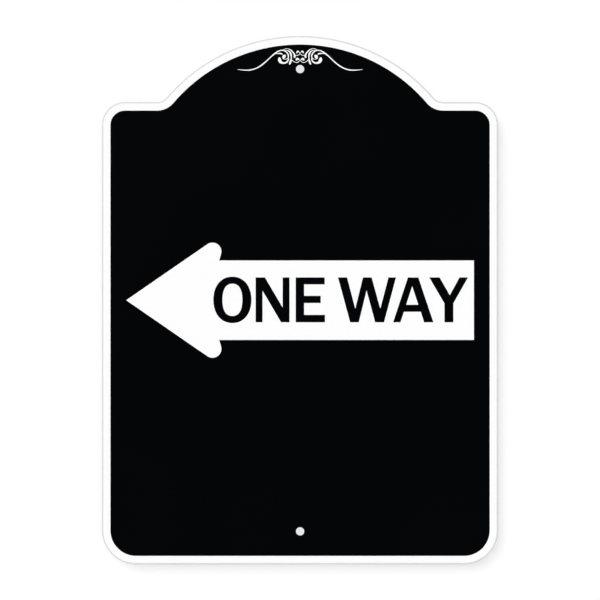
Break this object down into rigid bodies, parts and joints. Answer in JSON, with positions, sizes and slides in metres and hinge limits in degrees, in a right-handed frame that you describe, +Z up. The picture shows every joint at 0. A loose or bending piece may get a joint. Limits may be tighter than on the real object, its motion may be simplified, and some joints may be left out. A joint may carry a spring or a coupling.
{
  "type": "one way sign",
  "caption": "Flat arched-top one way sign of aluminium sheet with a white border, a black field, a left arrow with its legend and a scroll ornament, drilled for hanging.",
  "frame": {"origin": "on the back face of the sheet, midway between the two mounting holes", "axes": "+Z up, +X to the right of a reader who faces the sign, the printed front looks along -Y and the back face along +Y"},
  "size_m": [0.4572, 0.0024, 0.6096],
  "materials": {
    "sheet_metal": "mill finish with a fine rolling grain",
    "white_vinyl": "smooth semi-gloss film",
    "black_vinyl": "smooth semi-gloss film"
  },
  "bodies": {
    "root": {"aluminium_sheet": "sheet_metal", "white_film": "white_vinyl", "black_field": "black_vinyl", "arrow": "white_vinyl", "letter_o": "black_vinyl", "letter_n": "black_vinyl", "letter_e": "black_vinyl", "letter_w": "black_vinyl", "letter_a": "black_vinyl", "letter_y": "black_vinyl", "scroll_ornament": "white_vinyl"}
  },
  "joints": []
}
